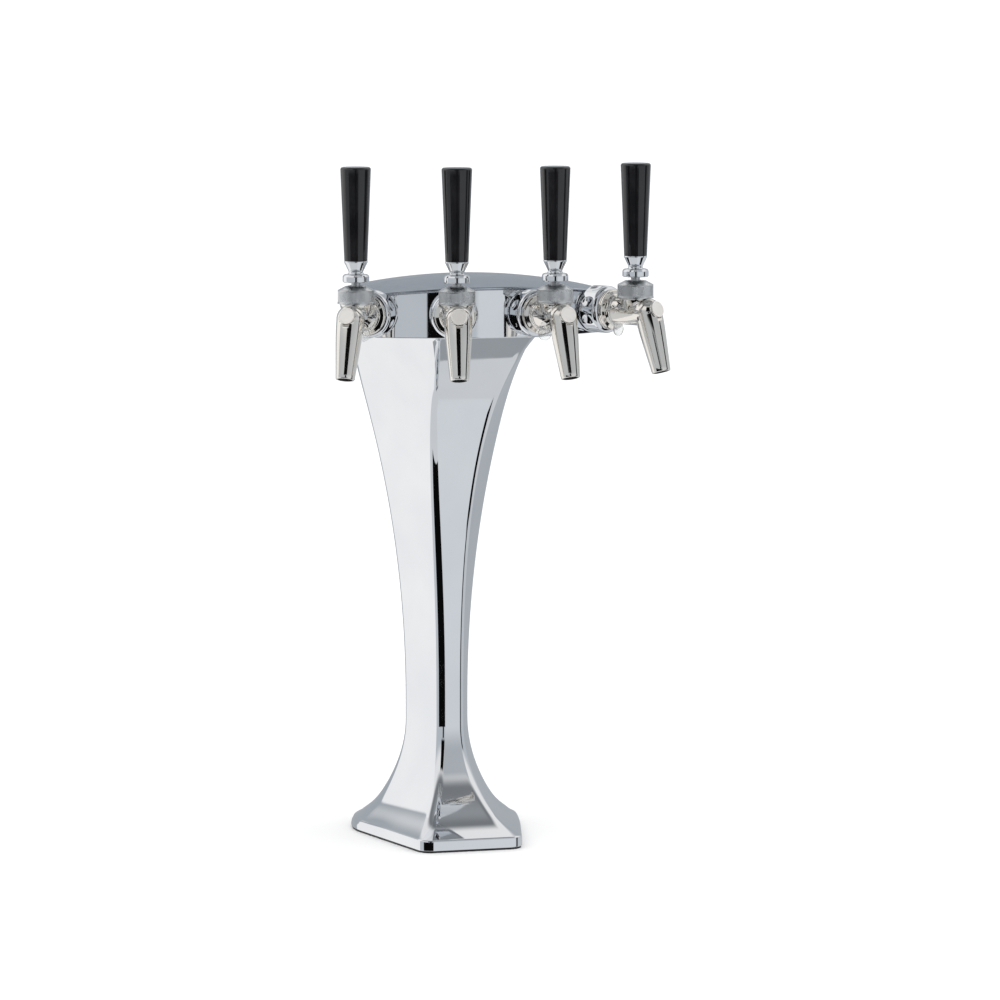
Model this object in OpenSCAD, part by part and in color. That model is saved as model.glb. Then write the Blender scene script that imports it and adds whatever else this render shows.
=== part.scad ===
// Beer tap tower: hexagonal flared column, fan-shaped domed head and four taps in an arc.
// Millimetres, +Z up. The origin is the centre of the foot's underside, and the taps face -Y.

/* [Foot and column] */
// Thickness of the rubber gasket under the foot
gasket_t = 2; // [1:0.5:3]
// Height of the top of the foot's upright rim
rim_z = 13; // [10:1:16]
// Half width of the foot, between its two side corners
foot_half_w = 96; // [92:1:100]
// Distance of the foot's front face from the centre
foot_front_d = 150; // [144:1:154]
// Distance of the foot's back face from the centre
foot_back_d = 84; // [82:1:100]
// How far behind the centre the foot's side corners are
foot_side_back = 22; // [15:1:25]
// Half width of the foot's front and back faces
foot_face = 53; // [48:1:56]
// Height at which the foot's flare ends
flare_z = 118; // [105:1:125]
// Height of the narrowest section of the column
waist_z = 140; // [130:1:150]
// Half width of the waist
waist_half_w = 34; // [33:1:38]
// Half depth of the waist
waist_half_d = 61; // [59:1:66]
// Half width of the waist's front face
waist_face = 13; // [12:1:15]
// Rounding of the column's ridges
ridge_r = 10; // [7:0.5:11]
// Wall of the castings
wall = 3; // [2.5:0.5:3.5]

/* [Head] */
// Height of the head's underside
head_z = 539.5; // [536:0.5:542]
// Radius of the curved front band
band_r = 219.6; // [218:0.2:221]
// How far the band's centre is in front of the column's axis
band_fwd = 11; // [9:1:13]
// Height of the top of the dome
dome_z = 598; // [597:0.5:600]
// Radius of the dome
dome_r = 580; // [570:5:600]
// How far the top of the dome is in front of the column's axis
dome_fwd = 140; // [135:1:145]

/* [Taps] */
// Angle between two neighbouring taps
tap_step = 21.1; // [21:0.1:22]
// Height of the shanks and tap bodies
tap_z = 564.5; // [564:0.5:565]
// Distance from the band to the lever's upright axis
tap_reach = 57; // [56:0.5:58]
// Height of the lever's ball above the shank's axis
ball_z = 22; // [21.5:0.5:22.5]
// Radius of the lever's ball
ball_r = 8; // [7.8:0.1:8]
// Outer radius of the coupling nut
nut_r = 24; // [23:0.5:25]
// Outer radius of the tube of the tap body
tube_r = 14; // [13.5:0.5:14]
// Angle of the spout from upright
spout_tilt = 17; // [15:1:18]
// Length of the spout along its own axis
spout_len = 62; // [58:1:64]
// Distance of the spout's elbow in front of the lever's axis
elbow_x = 17.3; // [17:0.1:17.6]
// Radius of the spout's mouth
mouth_r = 7.4; // [7:0.1:7.6]
// Height of the black handle's lower end above the shank's axis
grip_z = 56.8; // [56:0.2:58]
// Length of the black handle
grip_len = 93.3; // [80:0.1:110]
// Radius of the handle's upper end
grip_top_r = 15.25; // [14:0.25:17]

/* [Lines] */
// Outer radius of a beer line
beer_r = 4.75; // [4:0.25:4.75]
// Outer radius of a coolant line
cool_r = 4; // [3.5:0.25:4]
// Height of the lower ends of the lines
line_end_z = 16; // [14:1:20]

/* [Hidden] */
$fn = 64;
eps = 0.01;
gap = 0.3;
n_taps = 4;
n_arc = 6;

chrome = [0.80, 0.82, 0.85];
dome_blue = [0.55, 0.59, 0.66];
nickel = [0.78, 0.75, 0.70];
steel = [0.66, 0.67, 0.68];
black = [0.05, 0.05, 0.055];

// ---------- the column's hexagon at each height ----------

// How far the foot's flare has opened at height z, from 0 at flare_z to 1 at the rim.
function foot_t(z) = min(1, max(0, (flare_z - z) / (flare_z - rim_z)));
function foot_open(z) = let (t = foot_t(z)) 0.73 * pow(t, 2) + 0.27 * pow(t, 14);
// How far up the neck z is, from 0 at the waist to 1 at the head.
function neck_t(z) = min(1, max(0, (z - waist_z) / (head_z - waist_z)));
// The last sweep outwards just under the head.
function cove(z) = pow(min(1, max(0, (z - 0.78 * head_z) / (0.22 * head_z))), 3);

function half_w(z) =
    waist_half_w + (foot_half_w - waist_half_w) * foot_open(z) + 69 * pow(neck_t(z), 2) + 3 * cove(z);
function front_d(z) =
    waist_half_d + (foot_front_d - waist_half_d) * foot_open(z) + 131 * pow(neck_t(z), 4) + 10 * cove(z);
function back_d(z) =
    waist_half_d + (foot_back_d - waist_half_d) * foot_open(z) + 43 * pow(neck_t(z), 4);
function face_w(z) =
    waist_face + (foot_face - waist_face) * foot_open(z) + 36 * pow(neck_t(z), 2.5) + 6 * cove(z);
function side_fwd(z) = 36 * cove(z) - foot_side_back * foot_open(z);
function front_round(z) = ridge_r + 5.5 * foot_open(z) + 3 * cove(z);
function side_round(z) = ridge_r + 70 * foot_open(z) + 20 * cove(z);

function unit(v) = v / norm(v);
// Points of the arc that rounds the corner p between its neighbours a and b.
function corner(a, p, b, r, n) =
    let (ua = unit(a - p), ub = unit(b - p), half = acos(ua * ub) / 2,
         mid = p + unit(ua + ub) * r / sin(half), start = p + ua * r / tan(half) - mid,
         turn = 180 - 2 * half)
    [for (i = [0:n]) let (g = turn * i / n)
        mid + [start[0] * cos(g) - start[1] * sin(g), start[0] * sin(g) + start[1] * cos(g)]];
// Outline through the corners pts, anticlockwise, each rounded with its own radius.
function rounded(pts, radii, n) =
    let (m = len(pts))
    [for (k = [0:m - 1]) each corner(pts[(k + m - 1) % m], pts[k], pts[(k + 1) % m], radii[k], n)];

// The column's section at height z, made smaller all round by inset.
function section(z, inset = 0) =
    let (w = half_w(z) - inset, f = front_d(z) - inset, b = back_d(z) - inset,
         e = face_w(z) - 0.7 * inset, s = side_fwd(z),
         rf = max(2, front_round(z) - inset), rs = max(2, side_round(z) - inset))
    rounded([[-e, -f], [e, -f], [w, -s], [e, b], [-e, b], [-w, -s]], [rf, rf, rs, rf, rf, rs], n_arc);

function ring_pts(z, inset, at) = [for (p = section(at, inset)) [p[0], p[1], z]];

rim_soft = 1.6;
outer_levels = concat(
    [[gasket_t, 0.8], [gasket_t + 0.8, 0], [rim_z - rim_soft, 0], [rim_z - 0.5, 0.45]],
    [for (i = [0:11]) [rim_z + (flare_z - rim_z) * pow(i / 12, 1.8) + 0.4, i == 0 ? 0.9 : 0]],
    [for (i = [0:15]) [flare_z + (head_z - flare_z) * i / 16, 0]],
    [[head_z - 14, 0], [head_z - 7, 0], [head_z - 0.1, 0]]);
inner_levels = [
    gasket_t, rim_z - 4, rim_z - 1, rim_z + 4, 24, 34, 48, 66, 90, flare_z,
    200, 280, 340, 400, 450, 490, 515, head_z - 0.1
];
// The inner wall follows the outer one, moved in by the wall and down by it where the foot flares.
function inner_at(z) = z < rim_z - 2 ? rim_z - 2 : min(head_z, z + (z < flare_z ? wall + 1 : 0));

module tube_mesh(rings) {
    m = len(rings[0]);
    k = len(rings);
    polyhedron(
        points = [for (r = rings) each r],
        faces = [for (i = [0:k - 1], j = [0:m - 1])
            let (a = i * m, b = ((i + 1) % k) * m, q = (j + 1) % m)
            each [[a + j, b + j, b + q], [a + j, b + q, a + q]]],
        convexity = 6);
}

module column_shell() {
    color(chrome)
    tube_mesh(concat(
        [for (l = outer_levels) ring_pts(l[0], l[1], max(l[0], rim_z))],
        [for (i = [len(inner_levels) - 1:-1:0])
            ring_pts(inner_levels[i], wall, inner_at(inner_levels[i]))]));
}

module foot_outline(inset) { polygon(section(rim_z, inset)); }

module foot_gasket() {
    color(black)
    linear_extrude(gasket_t) difference() {
        foot_outline(1);
        foot_outline(16);
    }
}

// Mounting plate in the foot, with a tapped boss at each corner and the hole for the lines.
bolt_x = 40;
bolt_y = 58;
bolt_r = 3.4;
trunk_r = 36;
plate_t = 5;
boss_r = 8;
boss_h = 15;
module foot_plate() {
    color(steel)
    translate([0, 0, gasket_t + 1]) difference() {
        union() {
            linear_extrude(plate_t) foot_outline(wall + 3);
            for (x = [-bolt_x, bolt_x], y = [-bolt_y, bolt_y])
                translate([x, y, 0]) cylinder(r = boss_r, h = boss_h);
        }
        translate([0, 0, -1]) cylinder(r = trunk_r, h = plate_t + 2);
        for (x = [-bolt_x, bolt_x], y = [-bolt_y, bolt_y])
            translate([x, y, -1]) cylinder(r = bolt_r, h = boss_h + 2);
    }
}

// ---------- head ----------

head_corner = [136, -186];
head_side = [107, -40];
head_back = [50, 103];

module head_outline(inset) {
    polygon(rounded([
        [-head_corner[0] + inset, head_corner[1]], [head_corner[0] - inset, head_corner[1]],
        [head_side[0] - inset, head_side[1]], [head_back[0] - inset, head_back[1] - inset],
        [-head_back[0] + inset, head_back[1] - inset], [-head_side[0] + inset, head_side[1]]
    ], [2, 2, 60, 26, 26, 60], 10));
}

// Front part of the outline: a box whose side edges run on to the band.
module head_solid(inset, top_drop, z0) {
    intersection() {
        translate([0, 0, z0]) linear_extrude(dome_z - z0) union() {
            head_outline(inset);
            translate([0, head_corner[1] - 30])
                square([2 * (head_corner[0] - inset), 62], center = true);
        }
        translate([0, -band_fwd, z0 - 1]) cylinder(r = band_r - inset, h = 120, $fn = 180);
        translate([0, -dome_fwd, dome_z - dome_r]) sphere(r = dome_r - top_drop, $fn = 360);
    }
}

module at_tap(i) {
    translate([0, -band_fwd, tap_z])
        rotate([0, 0, (i - (n_taps + 1) / 2) * tap_step - 90])
            translate([band_r + tap_reach, 0, 0]) children();
}
module along_x(x) { translate([x, 0, 0]) rotate([0, 90, 0]) children(); }

shank_hole_r = 11.4;
cover_t = 3;
module head_shell() {
    color(chrome)
    difference() {
        head_solid(0, cover_t, head_z);
        difference() {
            head_solid(wall, cover_t - 1, head_z + wall);
            for (s = cover_screw_spots) translate([s[0], s[1], head_z]) cylinder(r = post_r, h = 60);
        }
        translate([0, 0, head_z - 1]) linear_extrude(wall + 2) polygon(section(head_z - 1, floor_lip));
        for (i = [1:n_taps]) at_tap(i) along_x(-tap_reach - 14) cylinder(r = shank_hole_r, h = 20);
        for (s = cover_screw_spots)
            translate([s[0], s[1], head_z - 1]) cylinder(r = screw_r + 0.05, h = 60);
    }
}

// Width of the head's floor that is left inside the column's outline.
floor_lip = 17;
// Spots of the screws that come up through the head's floor into the cover, clear of the lines.
cover_screw_spots = [[-98, -110], [98, -110], [0, 94]];
// Height of the cover's underside over the spot s.
function cover_low(s) =
    dome_z - dome_r + sqrt(pow(dome_r - cover_t, 2) - pow(s[0], 2) - pow(s[1] + dome_fwd, 2));

post_r = 5;
screw_r = 2;
screw_bite = 1.6;
module head_cover() {
    color(dome_blue)
    difference() {
        head_solid(0, 0, head_z + 1);
        translate([0, -dome_fwd, dome_z - dome_r]) sphere(r = dome_r - cover_t, $fn = 360);
        for (s = cover_screw_spots)
            translate([s[0], s[1], head_z]) cylinder(r = screw_r + 0.05, h = cover_low(s) + screw_bite - head_z);
    }
}

// Long screws from below, with their heads under the head's floor.
module cover_screws() {
    color(steel)
    for (s = cover_screw_spots) translate([s[0], s[1], head_z - 2.8]) {
        cylinder(r = screw_r, h = cover_low(s) + screw_bite - head_z + 2.8);
        cylinder(r = 4, h = 2.7);
    }
}

// Cooled block that the shanks pass through, an arc behind the band.
block_out = 196;
block_in = 162;
block_lo = 545;
block_hi = 576;
module cold_block() {
    color([0.72, 0.73, 0.74])
    difference() {
        translate([0, -band_fwd, block_lo]) difference() {
            cylinder(r = block_out, h = block_hi - block_lo, $fn = 180);
            translate([0, 0, -1]) cylinder(r = block_in, h = block_hi - block_lo + 2, $fn = 180);
            linear_extrude(200, center = true) polygon([
                [0, 0], [-200, -245], [-400, -245], [-400, 400], [400, 400], [400, -245], [200, -245]
            ]);
        }
        for (i = [1:n_taps]) at_tap(i) along_x(-tap_reach - 70) cylinder(r = shank_r + 0.05, h = 60);
        for (x = [-cool_x, cool_x])
            translate([x, -150, cool_z]) rotate([90, 0, 0]) cylinder(r = cool_r + 0.05, h = 35);
    }
}

// ---------- lines ----------

bend_r = 30;
beer_in = [20, 36, 36, 20];
cool_x = 22;
cool_y = 6;
cool_z = 550;
cool_bend = 25;

// A tube that comes in level along -X at the origin's height and turns down at x = stop.
module bent_tube(from, stop, r, bend, drop) {
    translate([stop + bend, 0, 0]) {
        along_x(0) cylinder(r = r, h = from - stop - bend);
        rotate([90, 0, 0]) rotate([0, 0, 90]) translate([-bend, 0, 0])
            rotate_extrude(angle = 90) translate([bend, 0]) circle(r = r);
    }
    translate([stop, 0, -drop]) cylinder(r = r, h = drop - bend);
}

module beer_lines() {
    color(steel)
    for (i = [1:n_taps])
        translate([0, -band_fwd, tap_z]) rotate([0, 0, (i - (n_taps + 1) / 2) * tap_step - 90])
            difference() {
                bent_tube(shank_back, beer_in[i - 1], beer_r, bend_r, tap_z - line_end_z);
                translate([beer_in[i - 1], 0, -tap_z + line_end_z - 1])
                    cylinder(r = beer_r - 1, h = 41);
            }
}

module coolant_lines() {
    color([0.72, 0.45, 0.32])
    for (x = [-cool_x, cool_x])
        translate([x, cool_y, cool_z]) rotate([0, 0, -90]) difference() {
            bent_tube(180, 0, cool_r, cool_bend, cool_z - line_end_z);
            translate([0, 0, -cool_z + line_end_z - 1]) cylinder(r = cool_r - 1, h = 41);
        }
}

// Nylon clip that spaces the six lines in the column's waist.
clip_z = 150;
clip_t = 8;
module line_clip() {
    color([0.85, 0.85, 0.82])
    translate([0, 0, clip_z]) difference() {
        linear_extrude(clip_t) polygon([
            [-12, -52], [12, -52], [27.4, -8], [26.5, 11.5], [-26.5, 11.5], [-27.4, -8]
        ]);
        for (i = [1:n_taps])
            translate([0, -band_fwd, -1]) rotate([0, 0, (i - (n_taps + 1) / 2) * tap_step - 90])
                translate([beer_in[i - 1], 0, 0]) cylinder(r = beer_r + 0.05, h = clip_t + 2);
        for (x = [-cool_x, cool_x])
            translate([x, cool_y, -1]) cylinder(r = cool_r + 0.05, h = clip_t + 2);
    }
}

// ---------- one tap, with its lever axis at the origin and the customer towards +X ----------

shank_r = 11;
shank_bore = 4.75;
shank_head_r = 17;
shank_back = 150;
nut_back = -tap_reach + 1.2;
nut_front = -33.5;
body_back = -40;
gasket_x = 2;

module shank() {
    color(chrome)
    difference() {
        union() {
            along_x(-tap_reach - band_r + shank_back)
                cylinder(r = shank_r, h = body_back - gasket_x + tap_reach + band_r - shank_back);
            along_x(-tap_reach + 0.3) cylinder(r = 20, h = 0.8);
            along_x(nut_back) cylinder(r = shank_head_r, h = body_back - gasket_x - nut_back);
        }
        along_x(-tap_reach - band_r + shank_back - 1) cylinder(r = shank_bore, h = 200);
    }
}

module shank_lock_nut() {
    along_x(-tap_reach - wall - 7.3) difference() {
        cylinder(r = 14.2, h = 7, $fn = 6);
        translate([0, 0, -1]) cylinder(r = shank_r + 0.05, h = 9);
    }
}

module coupling_gasket() {
    along_x(body_back - gasket_x) difference() {
        cylinder(r = 15, h = gasket_x);
        translate([0, 0, -1]) cylinder(r = shank_bore, h = gasket_x + 2);
    }
}

dimple_r = 18;
dimple_depth = 1.6;
module coupling_nut() {
    length = nut_front - nut_back;
    lip = 2.2;
    round_r = 5;
    color(chrome)
    difference() {
        along_x(nut_back) rotate_extrude() difference() {
            union() {
                square([nut_r, length - round_r]);
                square([nut_r - round_r, length]);
                translate([nut_r - round_r, length - round_r]) circle(r = round_r);
            }
            translate([-1, -1]) square([shank_head_r + 1.25, length - lip + 1]);
            translate([-1, -1]) square([16.3, length + 2]);
            translate([nut_r - 1, -eps]) polygon([[0, 0], [1 + eps, 0], [1 + eps, 1]]);
        }
        for (k = [0:7])
            translate([nut_back + 0.48 * length, 0, 0]) rotate([22.5 + 45 * k, 0, 0])
                translate([0, 0, nut_r - dimple_depth + dimple_r]) sphere(r = dimple_r);
    }
}

flange_r = 20.5;
flange_t = 5;
seat_x = 9;
bore_r = 8.2;
neck_top = 13.8;
spout_top_r = 14;
spout_low_r = 9.5;

disc_r = 8.3;
disc_z = 13.2;

module on_spout() { translate([elbow_x, 0, 0]) rotate([0, 180 - spout_tilt, 0]) children(); }
module on_elbow() { translate([elbow_x, 0, 0]) rotate([0, 90 - spout_tilt, 0]) children(); }

module tap_body() {
    color(nickel)
    difference() {
        union() {
            along_x(body_back) cylinder(r = shank_head_r, h = 4);
            along_x(body_back) cylinder(r = 15, h = 12);
            along_x(nut_front + gap) rotate_extrude() polygon([
                [0, 0], [flange_r - 0.6, 0], [flange_r, 0.6], [flange_r, 1.7], [flange_r - 1, 1.9],
                [flange_r - 1, 2.6], [flange_r, 2.8], [flange_r, flange_t - 1],
                [flange_r - 1, flange_t], [tube_r + 2.5, flange_t + 1], [tube_r - 1, flange_t + 5],
                [0, flange_t + 5]
            ]);
            along_x(-26) cylinder(r = tube_r, h = elbow_x + 26);
            translate([elbow_x, 0, 0]) sphere(r = tube_r + 0.15);
            on_spout() rotate_extrude() polygon([
                [0, 2], [spout_top_r - 0.05, 2], [spout_top_r - 0.9, 0.34 * spout_len],
                [spout_low_r, spout_len - 0.6], [spout_low_r - 0.6, spout_len], [0, spout_len]
            ]);
            on_elbow() cylinder(r = disc_r + 0.5, h = disc_z);
            rotate_extrude() polygon([
                [0, 0], [tube_r - 0.5, 0], [16, neck_top - 1], [16, neck_top], [14.2, neck_top],
                [14.2, neck_top + 3], [0, neck_top + 3]
            ]);
        }
        along_x(body_back - 1) cylinder(r = bore_r, h = seat_x - body_back + 1);
        along_x(0) cylinder(r = 5.4, h = elbow_x + 3);
        on_elbow() translate([0, 0, disc_z]) cylinder(r = disc_r + 0.6, h = 3);
        on_spout() translate([0, 0, 6]) cylinder(r = mouth_r - 0.4, h = spout_len - 36 + eps);
        on_spout() translate([0, 0, spout_len - 30]) cylinder(r = mouth_r, h = 31);
        translate([-10.5, -3.8, 3]) cube([10.5, 7.6, 20]);
        cylinder(r = 4, h = 30);
        translate([0, 0, ball_z]) sphere(r = ball_r + gap);
    }
}

module elbow_disc() {
    on_elbow() translate([0, 0, disc_z + 0.05]) rotate_extrude() polygon([
        [0, 0], [disc_r, 0], [disc_r, 0.7], [disc_r - 0.4, 1], [disc_r - 1.3, 1], [disc_r - 1.5, 0.8],
        [0, 0.8]
    ]);
}

// Clear washer in front of the body's flange, with a drop-shaped pull tab below.
module tab_washer() {
    tab_drop = 19;
    along_x(nut_front + gap + flange_t + 4.3) difference() {
        union() {
            cylinder(r = tube_r + 1.4, h = 1.6);
            translate([tab_drop, 0, 0]) cylinder(r = 7, h = 1.6);
            translate([tube_r - 2, -4.5, 0]) cube([8, 9, 1.6]);
        }
        translate([0, 0, -1]) cylinder(r = tube_r + 0.05, h = 4);
    }
}

// Nylon seat under the lever's ball.
module ball_seat() {
    translate([0, 0, neck_top + 3.1]) difference() {
        cylinder(r = 14, h = 3.4);
        translate([0, 0, -1]) cylinder(r = 6.4, h = 6);
        translate([0, 0, ball_z - neck_top - 3.1]) sphere(r = ball_r + gap);
    }
}

bonnet_r = 18.2;
bonnet_top = 31.4;
module bonnet() {
    color(steel)
    translate([0, 0, neck_top + 0.1]) difference() {
        rotate_extrude() polygon([
            [14.4, 0], [bonnet_r + 0.3, 0], [bonnet_r + 0.3, 1.4], [bonnet_r, 1.8],
            [bonnet_r, 13.5], [bonnet_r - 0.8, 14.1], [10.6, bonnet_top - neck_top],
            [10.1, bonnet_top - neck_top - 0.2], [7.7, 11.6], [7.7, 6.8], [14.4, 6.8]
        ]);
        translate([0, 0, ball_z - neck_top - 0.1]) sphere(r = ball_r + gap);
    }
}

// Sliding valve: a head that closes on the seat and a slot that the lever's finger moves.
module valve_shaft() {
    color(steel)
    difference() {
        union() {
            along_x(-24) cylinder(r = 5, h = 24 + seat_x - 3);
            along_x(-24) cylinder(r = bore_r - gap, h = 4);
            along_x(seat_x - 4) cylinder(r = 7, h = 2);
        }
        translate([-3.8, -6, -0.5]) cube([7.6, 12, 10]);
        for (a = [45:90:315]) rotate([a, 0, 0]) translate([-25, -2, 6]) cube([6, 4, 5]);
    }
}

module valve_seal() {
    color(black)
    along_x(seat_x - 2) difference() {
        cylinder(r1 = 7.6, r2 = 6.4, h = 1.8);
        translate([0, 0, -1]) cylinder(r = 2, h = 4);
    }
}

stem_r = 4.6;
finger_r = 2.3;
thread_r = 4.8;
nut_low = 35.3;
nut_high = 43.4;
module lever() {
    color(steel)
    union() {
        translate([0, 0, ball_z]) sphere(r = ball_r);
        translate([0, 0, 1 + finger_r]) cylinder(r = finger_r, h = ball_z - 1);
        translate([0, 0, 1 + finger_r]) sphere(r = finger_r);
        translate([0, 0, ball_z]) cylinder(r = stem_r, h = nut_low - ball_z);
        translate([0, 0, nut_low - eps]) cylinder(r = thread_r, h = 70 - nut_low);
    }
}

module jam_nut() {
    color(chrome)
    translate([0, 0, nut_low]) rotate_extrude() polygon([
        [thread_r + 0.05, 0], [12.4, 0], [13.3, 0.9], [13.3, 5.6], [12.6, 7.2], [11.2, 8],
        [thread_r + 0.05, 8]
    ]);
}

module ferrule() {
    color(chrome)
    rotate_extrude() polygon([
        [thread_r + 0.05, nut_high], [8.6, nut_high], [7.4, nut_high + 1], [7.2, nut_high + 2.6],
        [11.8, grip_z - 1.2], [11.8, grip_z - 0.3], [11.5, grip_z - 0.05], [6, grip_z - 0.05],
        [6, grip_z + 16], [thread_r + 0.05, grip_z + 16]
    ]);
}

grip_low_r = 11.6;
module handle() {
    soft = 2.4;
    color(black)
    translate([0, 0, grip_z]) difference() {
        rotate_extrude() union() {
            polygon([
                [0, 0], [grip_low_r - 0.4, 0], [grip_low_r, 0.5], [grip_top_r, grip_len - soft],
                [grip_top_r - soft, grip_len - 0.6], [6, grip_len], [0, grip_len]
            ]);
            translate([grip_top_r - soft, grip_len - soft - 0.1])
                intersection() { circle(r = soft); square(soft); }
        }
        translate([0, 0, -1]) cylinder(r = 6.05, h = 19);
    }
}

// ---------- groups of identical pieces ----------

module shank_lock_nuts() { color(steel) for (i = [1:n_taps]) at_tap(i) shank_lock_nut(); }
module coupling_gaskets() { color(black) for (i = [1:n_taps]) at_tap(i) coupling_gasket(); }
module elbow_discs() { color(nickel) for (i = [1:n_taps]) at_tap(i) elbow_disc(); }
module tab_washers() { color([0.9, 0.9, 0.9]) for (i = [1:n_taps]) at_tap(i) tab_washer(); }
module ball_seats() { color([0.9, 0.9, 0.86]) for (i = [1:n_taps]) at_tap(i) ball_seat(); }

foot_gasket();
foot_plate();
column_shell();
head_shell();
head_cover();
cover_screws();
cold_block();
beer_lines();
coolant_lines();
line_clip();
shank_lock_nuts();
coupling_gaskets();
elbow_discs();
tab_washers();
ball_seats();
at_tap(1) shank();  // shank_1
at_tap(2) shank();  // shank_2
at_tap(3) shank();  // shank_3
at_tap(4) shank();  // shank_4
at_tap(1) coupling_nut();  // coupling_nut_1
at_tap(2) coupling_nut();  // coupling_nut_2
at_tap(3) coupling_nut();  // coupling_nut_3
at_tap(4) coupling_nut();  // coupling_nut_4
at_tap(1) tap_body();  // tap_body_1
at_tap(2) tap_body();  // tap_body_2
at_tap(3) tap_body();  // tap_body_3
at_tap(4) tap_body();  // tap_body_4
at_tap(1) bonnet();  // bonnet_1
at_tap(2) bonnet();  // bonnet_2
at_tap(3) bonnet();  // bonnet_3
at_tap(4) bonnet();  // bonnet_4
at_tap(1) valve_shaft();  // valve_shaft_1
at_tap(2) valve_shaft();  // valve_shaft_2
at_tap(3) valve_shaft();  // valve_shaft_3
at_tap(4) valve_shaft();  // valve_shaft_4
at_tap(1) valve_seal();  // valve_seal_1
at_tap(2) valve_seal();  // valve_seal_2
at_tap(3) valve_seal();  // valve_seal_3
at_tap(4) valve_seal();  // valve_seal_4
at_tap(1) lever();  // lever_1
at_tap(2) lever();  // lever_2
at_tap(3) lever();  // lever_3
at_tap(4) lever();  // lever_4
at_tap(1) jam_nut();  // jam_nut_1
at_tap(2) jam_nut();  // jam_nut_2
at_tap(3) jam_nut();  // jam_nut_3
at_tap(4) jam_nut();  // jam_nut_4
at_tap(1) ferrule();  // ferrule_1
at_tap(2) ferrule();  // ferrule_2
at_tap(3) ferrule();  // ferrule_3
at_tap(4) ferrule();  // ferrule_4
at_tap(1) handle();  // handle_1
at_tap(2) handle();  // handle_2
at_tap(3) handle();  // handle_3
at_tap(4) handle();  // handle_4
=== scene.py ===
"""Looks of the beer tap tower: polished column, domed head and four taps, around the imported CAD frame.

Lengths in this file are millimetres until a mesh is made, where MM turns them into metres.
The tower's frame: origin under the foot's centre, +Z up, and the taps face -Y.
"""

import math

import bmesh
import bpy
import numpy as np
from mathutils import Matrix, Vector


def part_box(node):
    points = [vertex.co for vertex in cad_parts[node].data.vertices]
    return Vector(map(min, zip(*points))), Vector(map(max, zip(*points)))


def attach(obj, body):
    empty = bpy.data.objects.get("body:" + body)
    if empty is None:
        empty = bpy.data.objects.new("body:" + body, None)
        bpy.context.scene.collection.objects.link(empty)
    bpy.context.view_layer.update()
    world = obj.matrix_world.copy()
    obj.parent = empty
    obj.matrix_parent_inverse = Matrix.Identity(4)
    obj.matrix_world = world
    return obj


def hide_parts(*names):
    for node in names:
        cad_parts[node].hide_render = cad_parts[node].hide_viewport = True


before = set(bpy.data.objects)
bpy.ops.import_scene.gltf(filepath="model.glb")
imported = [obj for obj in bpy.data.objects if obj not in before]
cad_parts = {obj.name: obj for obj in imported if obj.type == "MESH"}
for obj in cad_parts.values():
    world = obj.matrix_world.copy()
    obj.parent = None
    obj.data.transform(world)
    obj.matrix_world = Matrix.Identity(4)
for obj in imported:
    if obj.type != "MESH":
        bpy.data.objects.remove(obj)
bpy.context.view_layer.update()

MM = 0.001
TOWER = "tower"
TAPS = (1, 2, 3, 4)


def top_of(node):
    """Height of a CAD node's highest point, in millimetres."""
    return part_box(node)[1].z / MM


def foot_of(node):
    """Height of a CAD node's lowest point, in millimetres."""
    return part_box(node)[0].z / MM


# ---------- driving dimensions, the same as the CAD model's ----------

# Foot and column
GASKET_T = top_of("foot_gasket")
RIM_Z = 13.0
FLARE_Z = 118.0
WAIST_Z = 140.0
FOOT_HALF_W = 96.0
FOOT_FRONT_D = 150.0
FOOT_BACK_D = 84.0
FOOT_SIDE_BACK = 22.0
WAIST_HALF = (34.0, 61.0)
FOOT_FACE = 53.0
WAIST_FACE = 13.0
RIDGE_R = 10.0
WALL = 3.0

# Head
HEAD_Z = foot_of("head_shell")
BAND_R = 219.6
BAND_Y = -11.0
DOME_Z = top_of("head_cover")
DOME_R = 580.0
DOME_Y = -140.0
COVER_T = 3.0
HEAD_CORNER = (136.0, -186.0)
HEAD_SIDE = (107.0, -40.0)
HEAD_BACK = (50.0, 103.0)
FLOOR_LIP = 17.0

# Taps
TAP_STEP = math.radians(21.1)
TAP_Z = 564.5
TAP_REACH = 57.0
TUBE_R = 14.0
ELBOW_X = 17.3
SPOUT_TILT = math.radians(17)
SPOUT_LEN = 62.0
MOUTH_R = 7.4
NUT_R = 24.0
NUT_BACK = -TAP_REACH + 1.2
NUT_FRONT = -33.5
FLANGE_R = 20.5
FLANGE_T = 5.0
NECK_TOP = 13.8
BALL_Z = 22.0
BALL_R = 8.0
BODY_BACK = -40.0
TUBE_BACK = -26.0
BONNET_R = 18.2
BONNET_TOP = 31.5
JAM_LOW = 35.3
JAM_HIGH = 43.3
GRIP_LOW = foot_of("handle_1") - TAP_Z
GRIP_HIGH = top_of("handle_1") - TAP_Z
GRIP_LOW_R = 11.6
GRIP_TOP_R = 15.25


# ---------- making meshes ----------


def new_object(name, points, faces, material, smooth=True):
    """A mesh piece from points in millimetres. Its normals are weighted by face area, so flats stay flat."""
    mesh = bpy.data.meshes.new(name)
    mesh.from_pydata([tuple(p) for p in np.asarray(points, float) * MM], [], faces)
    mesh.validate()
    mesh.materials.append(material)
    finish_mesh(mesh, smooth)
    obj = bpy.data.objects.new(name, mesh)
    bpy.context.scene.collection.objects.link(obj)
    return obj


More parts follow.
